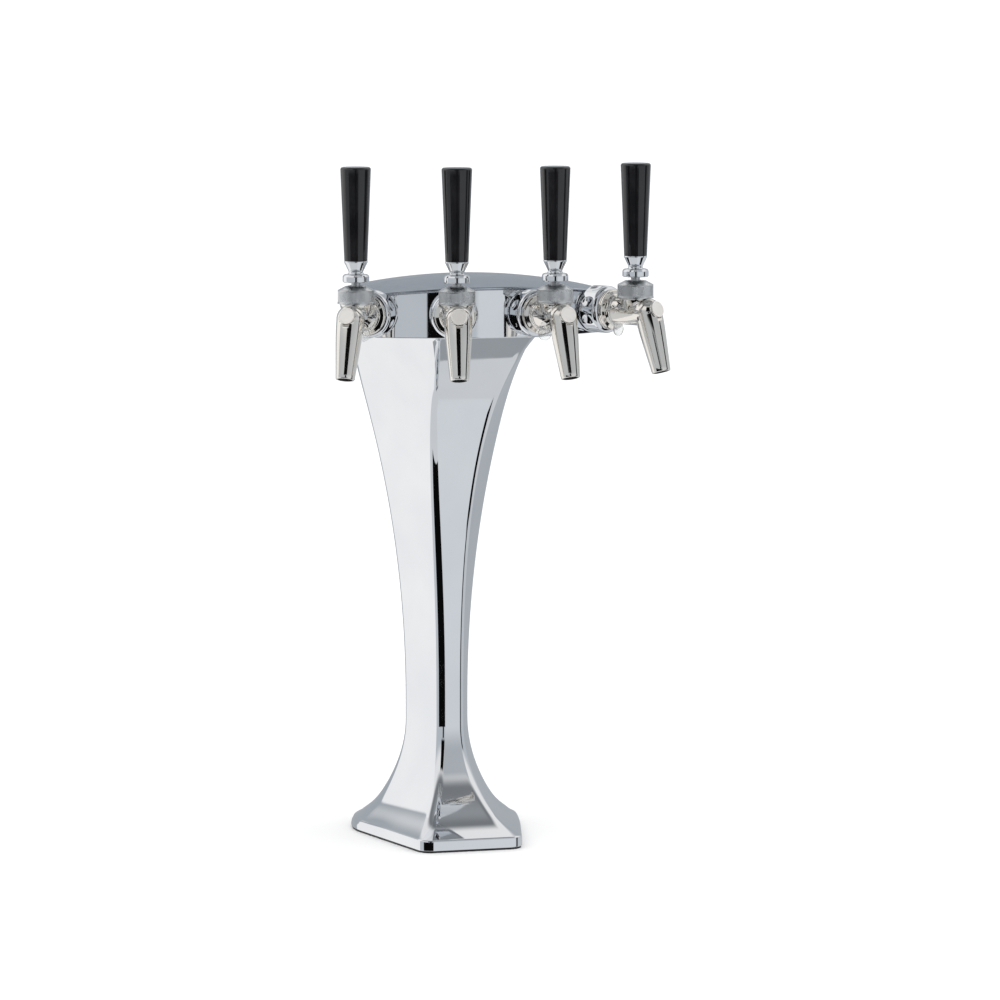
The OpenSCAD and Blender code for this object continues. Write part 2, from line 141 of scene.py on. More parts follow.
def finish_mesh(mesh, smooth=True):
    """Turns the faces outwards and shades them smooth."""
    work = bmesh.new()
    work.from_mesh(mesh)
    bmesh.ops.recalc_face_normals(work, faces=work.faces)
    work.to_mesh(mesh)
    work.free()
    mesh.polygons.foreach_set("use_smooth", [smooth] * len(mesh.polygons))
    if not smooth:
        return
    count = len(mesh.vertices)
    area_normals = np.zeros((count, 3))
    normals = np.zeros(len(mesh.polygons) * 3)
    areas = np.zeros(len(mesh.polygons))
    mesh.polygons.foreach_get("normal", normals)
    mesh.polygons.foreach_get("area", areas)
    weighted = normals.reshape(-1, 3) * areas[:, None]
    loops = np.zeros(len(mesh.loops), int)
    mesh.loops.foreach_get("vertex_index", loops)
    sizes = np.zeros(len(mesh.polygons), int)
    mesh.polygons.foreach_get("loop_total", sizes)
    np.add.at(area_normals, loops, np.repeat(weighted, sizes, axis=0))
    lengths = np.linalg.norm(area_normals, axis=1)
    area_normals[lengths > 0] /= lengths[lengths > 0][:, None]
    mesh.normals_split_custom_set_from_vertices([tuple(n) for n in area_normals])


def ring_faces(rings, around, closed_along=False, first=0):
    """Quads between `rings` rings of `around` points each, closed round each ring."""
    faces = []
    for i in range(rings if closed_along else rings - 1):
        a = first + i * around
        b = first + ((i + 1) % rings) * around
        for j in range(around):
            k = (j + 1) % around
            faces.append((a + j, a + k, b + k, b + j))
    return faces


def lathe(name, profile, material, around=96, shape=None):
    """Turns a profile of (radius, height) about the Z axis. A radius of 0 makes a pole, and a profile that
    starts and ends off the axis is closed into a ring. shape(points) may move the points afterwards."""
    profile = np.asarray(profile, float)
    starts, ends = profile[0, 0] < 1e-6, profile[-1, 0] < 1e-6
    body = profile[(1 if starts else 0) : (-1 if ends else None)]
    angles = np.linspace(0, 2 * math.pi, around, endpoint=False)
    rings = np.stack(
        [
            np.outer(body[:, 0], np.cos(angles)),
            np.outer(body[:, 0], np.sin(angles)),
            np.repeat(body[:, 1:2], around, axis=1),
        ],
        axis=-1,
    )
    if shape is not None:
        rings = shape(rings)
    points = list(rings.reshape(-1, 3))
    faces = ring_faces(len(body), around, closed_along=not (starts or ends))
    if starts:
        points.append(np.array([0, 0, profile[0, 1]]))
        pole = len(points) - 1
        faces += [(pole, (j + 1) % around, j) for j in range(around)]
    if ends:
        points.append(np.array([0, 0, profile[-1, 1]]))
        pole = len(points) - 1
        last = (len(body) - 1) * around
        faces += [(pole, last + j, last + (j + 1) % around) for j in range(around)]
    return new_object(name, points, faces, material)


def block(low, high):
    """A plain box between two opposite corners."""
    points = [(x, y, z) for x in (low[0], high[0]) for y in (low[1], high[1]) for z in (low[2], high[2])]
    faces = [(0, 1, 3, 2), (4, 6, 7, 5), (0, 4, 5, 1), (2, 3, 7, 6), (0, 2, 6, 4), (1, 5, 7, 3)]
    return new_object("part", points, faces, NICKEL, smooth=False)


def softened(profile, radius=0.35, steps=3, closed=False):
    """The same profile with each corner rounded. A corner may carry its own radius as a third value."""
    points = [np.array(p[:2], float) for p in profile]
    radii = [p[2] if len(p) > 2 else radius for p in profile]
    count = len(points)
    out = []
    for k in range(count):
        if not closed and k in (0, count - 1):
            out.append(points[k])
            continue
        before, here, after = points[k - 1], points[k], points[(k + 1) % count]
        a, b = before - here, after - here
        la, lb = np.linalg.norm(a), np.linalg.norm(b)
        a, b = a / la, b / lb
        half = math.acos(float(np.clip(a @ b, -1, 1))) / 2
        if radii[k] <= 0 or half > 1.55:
            out.append(here)
            continue
        reach = min(radii[k] / math.tan(half), 0.45 * la, 0.45 * lb)
        r = reach * math.tan(half)
        middle = here + (a + b) / np.linalg.norm(a + b) * r / math.sin(half)
        start, end = here + a * reach - middle, here + b * reach - middle
        turn = math.pi - 2 * half
        for i in range(steps + 1):
            t = i / steps
            w0 = math.sin((1 - t) * turn) / math.sin(turn)
            w1 = math.sin(t * turn) / math.sin(turn)
            out.append(middle + start * w0 + end * w1)
    return np.array(out)


# ---------- materials ----------


class Nodes:
    """A material's node tree, with short calls to add and join nodes."""

    def __init__(self, name):
        self.material = bpy.data.materials.new(name)
        self.material.use_nodes = True
        self.tree = self.material.node_tree
        self.tree.nodes.clear()
        self.output = self.add("ShaderNodeOutputMaterial")
        self.shader = self.add("ShaderNodeBsdfPrincipled")
        self.join(self.shader.outputs[0], self.output.inputs["Surface"])
        self.coords = self.add("ShaderNodeTexCoord").outputs["Object"]

    def add(self, kind, **values):
        node = self.tree.nodes.new(kind)
        for key, value in values.items():
            setattr(node, key, value)
        return node

    def join(self, a, b):
        self.tree.links.new(a, b)

    def set(self, **values):
        for key, value in values.items():
            self.shader.inputs[key.replace("_", " ")].default_value = value

    def noise(self, scale, detail=4.0, rough=0.55, stretch=None):
        """Noise over the piece's own coordinates, in features per metre."""
        source = self.coords
        if stretch is not None:
            mapping = self.add("ShaderNodeMapping")
            mapping.inputs["Scale"].default_value = stretch
            self.join(source, mapping.inputs["Vector"])
            source = mapping.outputs[0]
        node = self.add("ShaderNodeTexNoise")
        node.inputs["Scale"].default_value = scale
        node.inputs["Detail"].default_value = detail
        node.inputs["Roughness"].default_value = rough
        self.join(source, node.inputs["Vector"])
        return node.outputs["Fac"]

    def ramp(self, source, low, high, a=0.35, b=0.65):
        """A smooth step of source from a to b, as a value from low to high."""
        node = self.add("ShaderNodeMapRange", interpolation_type="SMOOTHSTEP")
        for key, value in (("From Min", a), ("From Max", b), ("To Min", low), ("To Max", high)):
            node.inputs[key].default_value = value
        self.join(source, node.inputs["Value"])
        return node.outputs["Result"]

    def tint(self, source, low, high, a=0.35, b=0.65):
        """A colour between low and high, by source."""
        node = self.add("ShaderNodeValToRGB")
        node.color_ramp.elements[0].position = a
        node.color_ramp.elements[1].position = b
        node.color_ramp.elements[0].color = (*low, 1)
        node.color_ramp.elements[1].color = (*high, 1)
        self.join(source, node.inputs["Fac"])
        return node.outputs["Color"]

    def bump(self, source, strength, distance, chain=None):
        node = self.add("ShaderNodeBump")
        node.inputs["Strength"].default_value = strength
        node.inputs["Distance"].default_value = distance
        self.join(source, node.inputs["Height"])
        if chain is not None:
            self.join(chain, node.inputs["Normal"])
        return node.outputs["Normal"]

    def into(self, name, source):
        self.join(source, self.shader.inputs[name])


def polished_metal(name, low, high, rough=(0.02, 0.06), wave=0.02):
    """Plated or polished metal: faint waviness of the casting, haze and hairlines in the roughness."""
    n = Nodes(name)
    n.set(Metallic=1.0)
    n.into("Base Color", n.tint(n.noise(9, 3), low, high))
    n.into("Roughness", n.ramp(n.noise(34, 6, 0.7), rough[0], rough[1]))
    waves = n.bump(n.noise(14, 2), wave, 0.0015)
    n.into("Normal", n.bump(n.noise(900, 2, stretch=(1, 1, 0.25)), 0.012, 0.0001, waves))
    return n.material


def satin_metal(name, low, high, rough=(0.24, 0.36), grain=(1, 1, 0.08), strength=0.12, metallic=1.0):
    """Satin metal with a fine directional grain."""
    n = Nodes(name)
    n.set(Metallic=metallic)
    n.into("Base Color", n.tint(n.noise(22, 4), low, high))
    n.into("Roughness", n.ramp(n.noise(60, 5, 0.7), rough[0], rough[1]))
    n.into("Normal", n.bump(n.noise(1600, 3, stretch=grain), strength, 0.0002))
    return n.material


def plastic(name, low, high, rough=(0.1, 0.18), scale=40, coat=0.0, strength=0.05):
    n = Nodes(name)
    n.set(Coat_Weight=coat, Coat_Roughness=0.05)
    n.into("Base Color", n.tint(n.noise(scale, 4), low, high))
    n.into("Roughness", n.ramp(n.noise(scale * 2.5, 5, 0.7), rough[0], rough[1]))
    n.into("Normal", n.bump(n.noise(scale * 9, 3), strength, 0.0002))
    return n.material


def clear_plastic(name):
    n = Nodes(name)
    n.set(Transmission_Weight=0.85, IOR=1.46)
    n.into("Base Color", n.tint(n.noise(60, 3), (0.86, 0.87, 0.88), (0.96, 0.97, 0.97)))
    n.into("Roughness", n.ramp(n.noise(160, 4), 0.08, 0.2))
    return n.material


EVEN = (1, 1, 1)  # a grain with no direction
CHROME = polished_metal("polished_chrome", (0.80, 0.815, 0.84), (0.86, 0.87, 0.885))
COVER = satin_metal("cover_chrome", (0.50, 0.54, 0.60), (0.56, 0.595, 0.65), (0.16, 0.24), EVEN, 0.03)
NICKEL = polished_metal("bright_nickel", (0.83, 0.795, 0.745), (0.89, 0.86, 0.81), (0.05, 0.1), 0.04)
BONNET_STEEL = satin_metal("satin_steel", (0.66, 0.67, 0.68), (0.76, 0.77, 0.775))
# Rough metal for the inside of the spout. Its near-black colour is painted shade in the bore, not the
# metal's own colour.
BORE_SHADE = satin_metal("rough_bore_painted_shade", (0.035, 0.034, 0.032), (0.06, 0.058, 0.055), (0.4, 0.55), EVEN, 0.2)
DISC = satin_metal("pearl_nickel", (0.86, 0.83, 0.79), (0.91, 0.88, 0.84), (0.38, 0.46), EVEN, 0.05, 0.6)
STEEL = satin_metal("plain_steel", (0.52, 0.53, 0.54), (0.62, 0.63, 0.64), (0.28, 0.42), (0.2, 1, 1))
ALUMINIUM = satin_metal("cast_aluminium", (0.68, 0.69, 0.70), (0.76, 0.77, 0.78), (0.4, 0.55), EVEN, 0.3)
COPPER = satin_metal("copper_tube", (0.72, 0.36, 0.22), (0.84, 0.46, 0.30), (0.2, 0.34), (1, 1, 0.1))
RUBBER = plastic("gasket_rubber", (0.012, 0.012, 0.013), (0.022, 0.022, 0.023), (0.5, 0.7), 120, 0, 0.3)
NYLON = plastic("white_nylon", (0.70, 0.70, 0.66), (0.78, 0.78, 0.74), (0.35, 0.5), 60, 0, 0.15)
HANDLE_BLACK = plastic("handle_black", (0.006, 0.006, 0.007), (0.011, 0.011, 0.012), (0.07, 0.13), 30, 0.25)
CLEAR = clear_plastic("clear_plastic")


# ---------- the column's hexagon ----------

FLAT_STEPS = 20
CORNER_STEPS = 14


def clamp(value):
    return min(1.0, max(0.0, value))


def foot_open(z):
    """How far the foot's flare has opened at height z, from 0 at FLARE_Z to 1 at the rim."""
    t = clamp((FLARE_Z - z) / (FLARE_Z - RIM_Z))
    return 0.73 * t**2 + 0.27 * t**14


def neck_t(z):
    """How far up the neck z is, from 0 at the waist to 1 at the head."""
    return clamp((z - WAIST_Z) / (HEAD_Z - WAIST_Z))


def cove(z):
    """The last sweep outwards just under the head."""
    return clamp((z - 0.78 * HEAD_Z) / (0.22 * HEAD_Z)) ** 3


def section_corners(z, inset):
    """Corners of the column's section and their roundings, as in the CAD model."""
    grow, neck, sweep = foot_open(z), neck_t(z), cove(z)
    w = WAIST_HALF[0] + (FOOT_HALF_W - WAIST_HALF[0]) * grow + 69 * neck**2 + 3 * sweep - inset
    f = WAIST_HALF[1] + (FOOT_FRONT_D - WAIST_HALF[1]) * grow + 131 * neck**4 + 10 * sweep - inset
    b = WAIST_HALF[1] + (FOOT_BACK_D - WAIST_HALF[1]) * grow + 43 * neck**4 - inset
    e = WAIST_FACE + (FOOT_FACE - WAIST_FACE) * grow + 36 * neck**2.5 + 6 * sweep - 0.7 * inset
    s = 36 * sweep - FOOT_SIDE_BACK * grow
    front_r = max(2.0, RIDGE_R + 5.5 * grow + 3 * sweep - inset)
    side_r = max(2.0, RIDGE_R + 70 * grow + 20 * sweep - inset)
    points = [(-e, -f), (e, -f), (w, -s), (e, b), (-e, b), (-w, -s)]
    return points, [front_r, front_r, side_r, front_r, front_r, side_r]


def corner_arc(before, here, after, radius, steps):
    """Points of the arc that rounds the corner `here` between its two neighbours."""
    a, b = before - here, after - here
    a, b = a / np.linalg.norm(a), b / np.linalg.norm(b)
    half = math.acos(float(np.clip(a @ b, -1, 1))) / 2
    middle = here + (a + b) / np.linalg.norm(a + b) * radius / math.sin(half)
    start = here + a * radius / math.tan(half) - middle
    turns = [(math.pi - 2 * half) * i / steps for i in range(steps + 1)]
    return [middle + [start[0] * math.cos(g) - start[1] * math.sin(g),
                      start[0] * math.sin(g) + start[1] * math.cos(g)] for g in turns]


def between(start, stop, count):
    """The points that divide the line from start to stop into count parts, without its ends."""
    return [start + (stop - start) * i / count for i in range(1, count)]


def rounded_outline(points, radii, corner_steps, flat_steps):
    """Outline through the points, anticlockwise, with round corners and evenly divided flats."""
    points = [np.array(p, float) for p in points]
    count = len(points)
    arcs = [corner_arc(points[k - 1], points[k], points[(k + 1) % count], radii[k], corner_steps)
            for k in range(count)]
    out = []
    for k, arc in enumerate(arcs):
        out += arc + between(arc[-1], arcs[(k + 1) % count][0], flat_steps)
    return np.array(out)


def section(z, inset=0.0):
    points, radii = section_corners(z, inset)
    return rounded_outline(points, radii, CORNER_STEPS, FLAT_STEPS)


def ring_at(z, shape_z, inset):
    flat = section(shape_z, inset)
    return np.column_stack([flat, np.full(len(flat), z)])


SIDE_SOFT = 2.4  # how far the rim's edge draws in at the side corners
LOW_EDGE = 0.7  # rounding of the lower edge, over the gasket
RIM_EDGE = 1.7  # rounding of the rim's upper edge
RIM_TURN = math.radians(76)  # how far that edge turns before the flare takes over
RIM_LIFT = 0.25


def soft_sides(ring):
    """Rounds the foot's rim more heavily towards its two side corners."""
    near = np.exp(-(((ring[:, 1] - FOOT_SIDE_BACK) / 62) ** 4)) * (np.abs(ring[:, 0]) > 0.5 * FOOT_HALF_W)
    share = near * np.exp(-(((ring[:, 2] - RIM_Z) / 4.5) ** 2))
    ring[:, 0] -= np.sign(ring[:, 0]) * SIDE_SOFT * share
    ring[:, 2] -= 0.5 * SIDE_SOFT * share
    return ring


def foot_rings():
    """Rings of the outer wall from the gasket to the end of the flare."""
    rings = []
    for g in np.linspace(0, math.pi / 2, 5):
        rings.append(ring_at(GASKET_T + LOW_EDGE * (1 - math.cos(g)), RIM_Z, LOW_EDGE * (1 - math.sin(g))))
    upright = RIM_Z - RIM_EDGE - GASKET_T - LOW_EDGE
    for i in range(1, 6):
        rings.append(ring_at(GASKET_T + LOW_EDGE + upright * i / 6, RIM_Z, 0))
    for g in np.linspace(0, RIM_TURN, 9):
        z = RIM_Z - RIM_EDGE + (RIM_EDGE + RIM_LIFT) * math.sin(g)
        rings.append(ring_at(z, RIM_Z, RIM_EDGE * (1 - math.cos(g))))
    flare_from = RIM_Z + 0.45
    for i in range(56):
        z = flare_from + (FLARE_Z - flare_from) * (i / 56) ** 1.8
        rings.append(ring_at(z, z, 0))
    return [soft_sides(ring) for ring in rings]


def inner_rings():
    """Rings of the inner wall, from the head down to the gasket."""
    neck = np.linspace(HEAD_Z - 0.1, FLARE_Z, 40)
    foot = np.linspace(FLARE_Z - 8, RIM_Z + 4, 14)
    rings = []
    for z in np.concatenate([neck, foot]):
        rings.append(ring_at(z, min(HEAD_Z, z + (WALL + 1 if z < FLARE_Z else 0)), WALL))
    for z in (RIM_Z - 1, RIM_Z - 4, GASKET_T):
        rings.append(ring_at(z, max(RIM_Z - 2, z + 1), WALL))
    return rings


def in_place_of(obj, node, body=TOWER):
    """Lets a piece ride a body and stand in for a CAD node."""
    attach(obj, body)
    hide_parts(node)


def build_column():
    """One closed casting: outer wall from the foot to the head, and the inner wall back down."""
    neck = [ring_at(z, z, 0) for z in FLARE_Z + (HEAD_Z - FLARE_Z - 0.1) * np.arange(72) / 71]
    rings = foot_rings() + neck + inner_rings()
    faces = ring_faces(len(rings), len(rings[0]), True)
    in_place_of(new_object("column", np.concatenate(rings), faces, CHROME), "column_shell")


# ---------- head ----------

HEAD_MIDDLE = np.array([0.0, -60.0])


def head_outline():
    """The head's plan, anticlockwise: the curved band in front, then the sides and the back."""
    side, corner = np.array(HEAD_SIDE), np.array(HEAD_CORNER)
    along = (side - corner) / np.linalg.norm(side - corner)
    centre = np.array([0, BAND_Y])
    reach = corner - centre
    b = reach @ along
    end = corner + along * (-b - math.sqrt(b * b - reach @ reach + BAND_R**2))
    if end[1] > 0:
        end = corner + along * (-b + math.sqrt(b * b - reach @ reach + BAND_R**2))
    soft = 1.5
    arc_end = math.asin(end[0] / BAND_R) - 2.2 / BAND_R
    arc = [
        centre + BAND_R * np.array([math.sin(g), -math.cos(g)])
        for g in np.linspace(-arc_end, arc_end, 181)
    ]
    right = [end, side, np.array(HEAD_BACK)]
    left = [point * [-1, 1] for point in reversed(right)]
    points = [arc[-1]] + right + left + [arc[0]]
    radii = [soft, 60, 26, 26, 60, soft]
    steps = [8, 30, 20, 20, 30, 8]
    flats = [26, 26, 20, 26, 26]
    runs = [corner_arc(*points[k : k + 3], radii[k], steps[k]) for k in range(len(radii))]
    out = arc[:-1] + runs[0]
    for k, count in enumerate(flats):
        out += between(runs[k][-1], runs[k + 1][0], count) + runs[k + 1]
    return np.array(out)


def inward(outline, distance):
    """The closed outline moved inwards by distance."""
    ahead = np.roll(outline, -1, axis=0) - np.roll(outline, 1, axis=0)
    ahead /= np.linalg.norm(ahead, axis=1)[:, None]
    return outline + np.column_stack([-ahead[:, 1], ahead[:, 0]]) * distance


def dome_at(flat, drop=0.0):
    """Height of the dome, lowered by drop, over points of the plan."""
    across = flat[:, 0] ** 2 + (flat[:, 1] - DOME_Y) ** 2
    return DOME_Z - DOME_R + np.sqrt((DOME_R - drop) ** 2 - across)


def floor_opening(outline):
    """The opening in the head's floor, one point for each point of the outline, seen from HEAD_MIDDLE."""
    opening = section(HEAD_Z - 1, FLOOR_LIP) - HEAD_MIDDLE
    angles = np.arctan2(opening[:, 1], opening[:, 0])
    order = np.argsort(angles)
    wanted = np.arctan2(*(outline - HEAD_MIDDLE).T[::-1])
    radii = np.interp(wanted, angles[order], np.linalg.norm(opening, axis=1)[order], period=2 * math.pi)
    return HEAD_MIDDLE + np.column_stack([np.cos(wanted), np.sin(wanted)]) * radii[:, None]


def lifted(flat, z):
    return np.column_stack([flat, np.broadcast_to(z, len(flat))])


def build_band():
    """The head's shell: the band and sides, with the floor that sits on the column."""
    outline = head_outline()
    top = dome_at(outline, COVER_T)
    soft, lip = 0.9, 0.3
    rings = []
    for g in np.linspace(0, math.pi / 2, 6):
        rings.append(lifted(inward(outline, soft * (1 - math.sin(g))), HEAD_Z + soft * (1 - math.cos(g))))
    for i in range(1, 13):
        rings.append(lifted(outline, HEAD_Z + soft + (top - lip - HEAD_Z - soft) * i / 13))
    for g in np.linspace(0, math.pi / 2, 4):
        rings.append(lifted(inward(outline, lip * (1 - math.cos(g))), top - lip * (1 - math.sin(g))))
    inner = inward(outline, WALL)
    opening = floor_opening(outline)
    rings.append(lifted(inner, dome_at(inner, COVER_T)))
    rings.append(lifted(inner, HEAD_Z + WALL))
    for share in (0.25, 0.5, 0.75, 1.0):
        rings.append(lifted(inner + (opening - inner) * share, HEAD_Z + WALL))
    start = inward(outline, soft)
    for share in (1.0, 0.75, 0.5, 0.25):
        rings.append(lifted(start + (opening - start) * share, HEAD_Z))
    faces = ring_faces(len(rings), len(outline), True)
    in_place_of(new_object("head_band", np.concatenate(rings), faces, CHROME), "head_shell")


def build_dome():
    """The domed cover: its softened edge, rings that close on HEAD_MIDDLE, and the same below."""
    outline = head_outline()
    around = len(outline)
    edge, levels, low = 1.2, 44, COVER_T - 0.05
    rim = inward(outline, edge)

    def dome_ring(i, drop=0.0):
        flat = HEAD_MIDDLE + (rim - HEAD_MIDDLE) * (1 - i / levels)
        return lifted(flat, dome_at(flat, drop))

    upper = [lifted(outline, dome_at(outline, low))]
    for g in np.linspace(0, math.pi / 2, 7):
        flat = inward(outline, edge * (1 - math.cos(g)))
        upper.append(lifted(flat, dome_at(flat) - edge * (1 - math.sin(g))))
    upper += [dome_ring(i) for i in range(1, levels)]
    under = [dome_ring(i, low) for i in range(levels - 1, 0, -4)]
    poles = [[*HEAD_MIDDLE, dome_at(HEAD_MIDDLE[None], drop)[0]] for drop in (0.0, low)]
    points = np.concatenate(upper + under + [poles])
    pole_top, pole_low = len(points) - 2, len(points) - 1
    under_first = len(upper) * around
    crown, last = under_first - around, pole_top - around
    faces = ring_faces(len(upper), around) + ring_faces(len(under), around, first=under_first)
    ahead = [(j, (j + 1) % around) for j in range(around)]
    faces += [(last + j, last + k, k, j) for j, k in ahead]
    faces += [(crown + j, crown + k, pole_top) for j, k in ahead]
    faces += [(under_first + k, under_first + j, pole_low) for j, k in ahead]
    in_place_of(new_object("head_dome", points, faces, COVER), "head_cover")


# ---------- taps ----------


def tap_matrix(i):
    """Where tap i stands: its lever's axis at the origin and +X towards the drinker."""
    g = (i - (len(TAPS) + 1) / 2) * TAP_STEP - math.pi / 2
    reach = BAND_R + TAP_REACH
    spot = Vector((reach * math.cos(g), BAND_Y + reach * math.sin(g), TAP_Z)) * MM
    return Matrix.Translation(spot) @ Matrix.Rotation(g, 4, "Z")


ALONG_X = Matrix.Rotation(math.pi / 2, 4, "Y")
ON_SPOUT = Matrix.Translation((ELBOW_X * MM, 0, 0)) @ Matrix.Rotation(math.pi - SPOUT_TILT, 4, "Y")
ON_DISC = Matrix.Translation((ELBOW_X * MM, 0, 0)) @ Matrix.Rotation(math.pi / 2 - SPOUT_TILT, 4, "Y")


def moved(obj, matrix):
    """Puts the move into the mesh, so that the object stays at the origin."""
    obj.data.transform(matrix)
    obj.data.update()
    return obj


def coupling_nut_profile():
    length = NUT_FRONT - NUT_BACK
    outer = [(17.1, 0.0), (NUT_R - 1.0, 0.0, 0.3), (NUT_R, 1.0, 0.3)]
    front = 5.0
    profile = list(softened(outer, 0.3)[:-1])
    profile += [(NUT_R, z) for z in np.linspace(1.2, length - front, 34)]
    for i in range(1, 13):
        g = math.pi / 2 * i / 12
        profile.append((NUT_R - front * (1 - math.cos(g)), length - front * (1 - math.sin(g))))
    profile += [(17.0, length), (16.5, length - 0.4), (16.5, length - 2.2), (17.1, length - 2.4)]
    return profile


def dimpled(rings):
    """Eight shallow round dimples for a spanner, on the nut's side."""
    length = NUT_FRONT - NUT_BACK
    ball, depth = 18.0, 1.6
    middle_h = 0.48 * length
    radius = np.hypot(rings[..., 0], rings[..., 1])
    angle = np.arctan2(rings[..., 1], rings[..., 0])
    for k in range(8):
        g = math.radians(22.5 + 45 * k)
        axis = np.array([math.cos(g), math.sin(g)])
        centre = axis * (NUT_R - depth + ball)
        away = rings[..., :2] - centre
        near = np.sqrt((away**2).sum(-1) + (rings[..., 2] - middle_h) ** 2)
        push = np.where((radius > NUT_R - 1.5) & (near < ball), ball - near, 0)
        push = np.where(push > 0, np.sqrt(push**2 + 0.03**2) - 0.03, 0)
        rings[..., 0] -= np.cos(angle) * push
        rings[..., 1] -= np.sin(angle) * push
    return rings


def turned(profile, matrix, around=112):
    """A turned shape of the tap's body, moved to its place."""
    return moved(lathe("part", profile, NICKEL, around), matrix)


def round_profile(radius, centre, steps):
    """Profile of a ball about the axis."""
    turns = np.linspace(0, math.pi, steps)
    return np.array([(radius * math.sin(g), centre - radius * math.cos(g)) for g in turns])


def spout_profile():
    """The spout's outside: nearly parallel at first, then a straight taper to its mouth."""
    top_r, taper_r = TUBE_R - 0.03, 13.1
    profile = [(0, 2), (top_r, 2)]
    for s in np.linspace(0.06, 0.34, 5):
        profile.append((top_r - 0.87 * ((s - 0.03) / 0.31) ** 1.6, s * SPOUT_LEN))
    for s in np.linspace(0.40, 0.985, 12):
        profile.append((taper_r - 3.6 * ((s - 0.34) / 0.65) ** 1.03, s * SPOUT_LEN))
    profile += [(9.2, SPOUT_LEN - 0.25), (8.7, SPOUT_LEN), (0, SPOUT_LEN)]
    return np.array(profile)


def body_parts():
    """The shapes that join into a tap's body: flange, tail, tube, elbow, spout, disc pad and neck."""
    flange = [
        (0, 0), (FLANGE_R, 0, 0.6), (FLANGE_R, 1.8, 0.2), (FLANGE_R - 1, 2.0, 0.2),
        (FLANGE_R - 1, 2.6, 0.2), (FLANGE_R, 2.8, 0.2), (FLANGE_R, FLANGE_T - 0.6, 0.5),
        (FLANGE_R - 1, FLANGE_T, 0.4), (TUBE_R + 2.0, FLANGE_T + 1, 1.2),
        (TUBE_R - 0.5, FLANGE_T + 4.6, 0.2), (0, FLANGE_T + 5),
    ]
    tail = [(0, 0), (17.0, 0), (17.0, 4), (15, 4), (15, 12), (0, 12)]
    tube_len = ELBOW_X - TUBE_BACK
    tube = [(0, 0), (TUBE_R, 0), (TUBE_R, tube_len), (0, tube_len)]
    pad = [(0, 4), (8.8, 4), (8.8, 13.2, 0.5), (0, 13.2)]
    neck = [
        (0, 0), (TUBE_R - 0.5, 0), (16, NECK_TOP - 1, 0.5), (16, NECK_TOP, 0.3), (14.2, NECK_TOP, 0.2),
        (14.2, NECK_TOP + 3, 0.2), (0, NECK_TOP + 3),
    ]
    return [
        turned(softened(flange, 0.2), Matrix.Translation(((NUT_FRONT + 0.3) * MM, 0, 0)) @ ALONG_X),
        turned(softened(tail, 0.3), Matrix.Translation((BODY_BACK * MM, 0, 0)) @ ALONG_X),
        turned(np.array(tube, float), Matrix.Translation((TUBE_BACK * MM, 0, 0)) @ ALONG_X),
        turned(round_profile(TUBE_R + 0.15, 0, 49), Matrix.Translation((ELBOW_X * MM, 0, 0))),
        turned(spout_profile(), ON_SPOUT),
        turned(softened(pad, 0.3), ON_DISC),
        turned(softened(neck, 0.3), Matrix.Identity(4)),
    ]


def bore(radius, low, high, matrix):
    """A round hole through the tap's body, from low to high along the matrix's Z."""
    return turned(np.array([(0, low), (radius, low), (radius, high), (0, high)], float), matrix, 64)


def body_bores():
    """Everything cut from a tap's body: beer way, spout, disc recess, the lever's slot, socket and hole."""
    return [
        bore(8.2, BODY_BACK - 1, 9, ALONG_X),
        bore(MOUTH_R - 0.4, 6, SPOUT_LEN - 30, ON_SPOUT),
        bore(MOUTH_R, SPOUT_LEN - 30.01, SPOUT_LEN + 1, ON_SPOUT),
        bore(5.4, 0, ELBOW_X + 3, ALONG_X),
        bore(8.9, 13.2, 16.2, ON_DISC),
        block((-10.5, -3.8, 3), (-0.7, 3.8, 19.6)),
        turned(round_profile(BALL_R + 0.3, BALL_Z, 25), Matrix.Translation((0, 0, 0.013 * MM)), 61),
        bore(4.0, 0.7, BALL_Z, Matrix.Rotation(0.3, 4, "Z")),
    ]


def with_tools(base, label, operation, tools):
    """Adds one exact boolean of base with all the tools."""
    group = bpy.data.collections.new(label)
    for tool in tools:
        group.objects.link(tool)
    modifier = base.modifiers.new(label, "BOOLEAN")
    modifier.operation = operation
    modifier.solver = "EXACT"
    modifier.operand_type = "COLLECTION"
    modifier.collection = group
    return group


def blacken_spout(mesh):
    """Gives the inside of the spout its rough near-black material: painted shade in the bore."""
    mesh.materials.append(BORE_SHADE)
    to_spout = ON_SPOUT.inverted()
    for polygon in mesh.polygons:
        spot = to_spout @ polygon.center / MM
        if math.hypot(spot.x, spot.y) < MOUTH_R + 0.02 and 2 < spot.z < SPOUT_LEN:
            polygon.material_index = 1


def body_mesh(name):
    """The tap's body: turned shapes joined into one, then bored."""
    parts, bores = body_parts(), body_bores()
    base = parts[0]
    groups = [with_tools(base, "joined", "UNION", parts[1:]), with_tools(base, "bored", "DIFFERENCE", bores)]
    view = bpy.context.evaluated_depsgraph_get()
    joined = bpy.data.meshes.new_from_object(base.evaluated_get(view))
    for piece in parts + bores:
        bpy.data.objects.remove(piece)
    for group in groups:
        bpy.data.collections.remove(group)
    work = bmesh.new()
    work.from_mesh(joined)
    bmesh.ops.remove_doubles(work, verts=work.verts, dist=1e-6)
    work.to_mesh(joined)
    work.free()
    joined.name = name
    blacken_spout(joined)
    joined.polygons.foreach_set("use_smooth", [True] * len(joined.polygons))
    joined.set_sharp_from_angle(angle=math.radians(38))
    return joined


